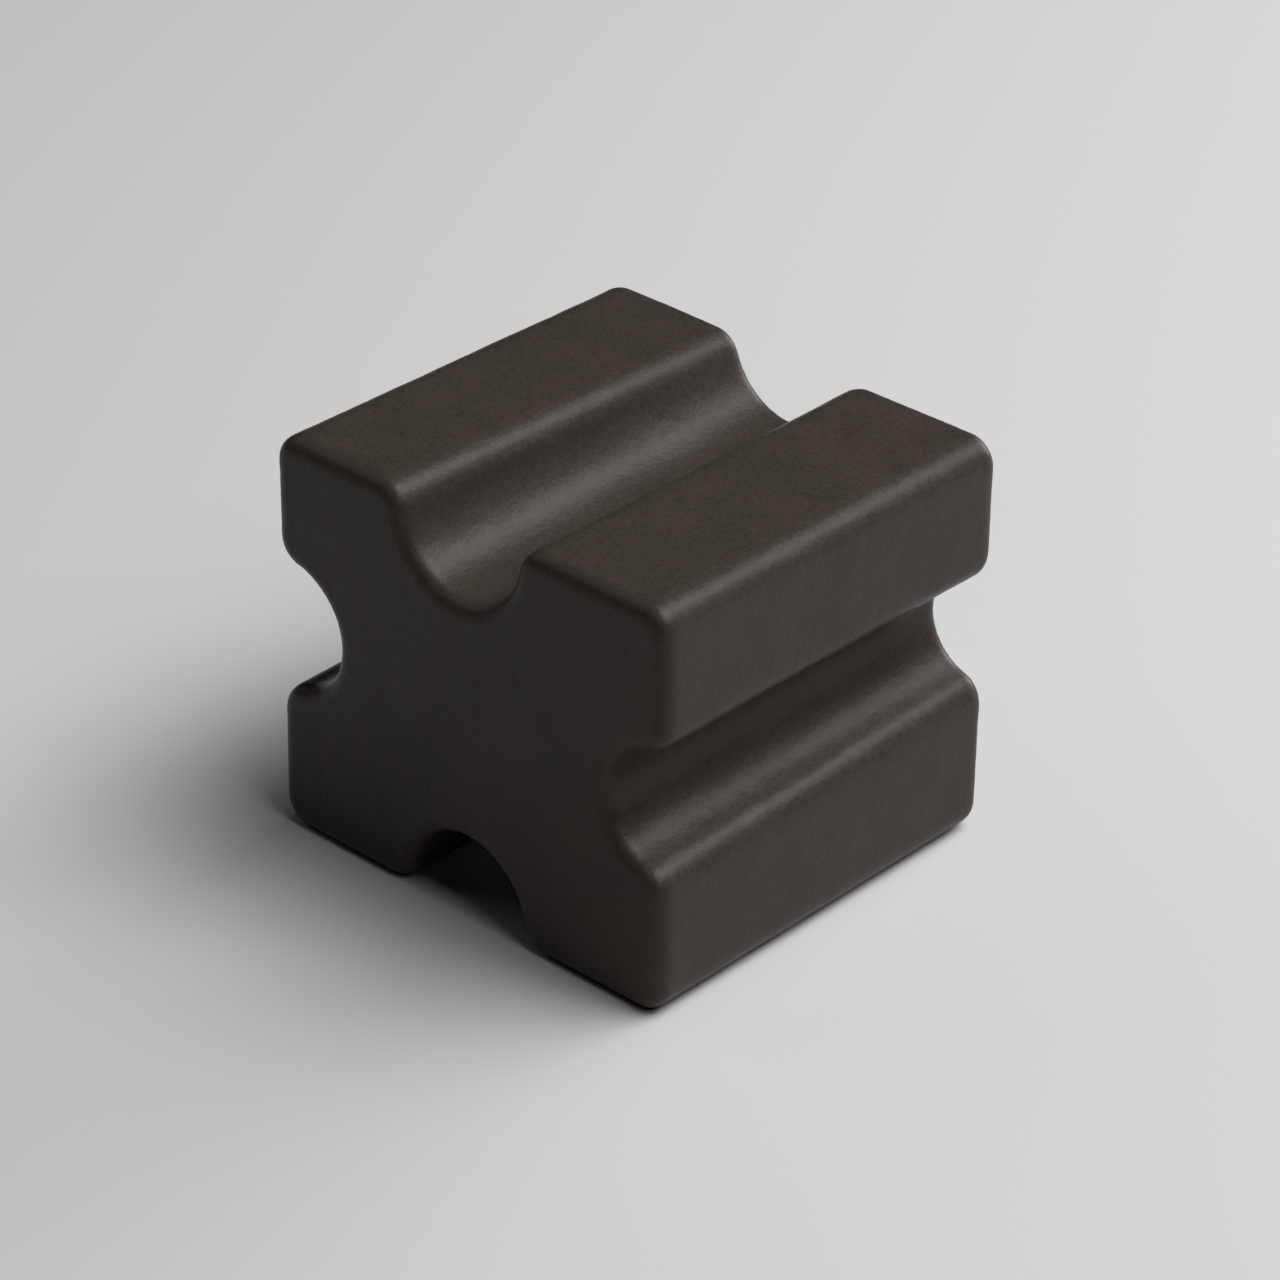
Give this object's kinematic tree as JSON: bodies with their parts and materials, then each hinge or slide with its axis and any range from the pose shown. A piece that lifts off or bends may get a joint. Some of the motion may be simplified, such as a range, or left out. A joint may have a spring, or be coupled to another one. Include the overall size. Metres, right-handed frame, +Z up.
{
  "type": "charcoal briquette",
  "caption": "Small pressed charcoal block with a rounded groove down each long side, giving an X-shaped section; fuel for a hookah or small brazier.",
  "frame": {"origin": "centre of the footprint, on the plane that the block rests on", "axes": "+X across the block, +Y along the four grooves, +Z up"},
  "size_m": [0.025, 0.0232, 0.0215],
  "materials": {
    "charcoal": "matte"
  },
  "bodies": {
    "root": {"briquette": "charcoal"}
  },
  "joints": []
}
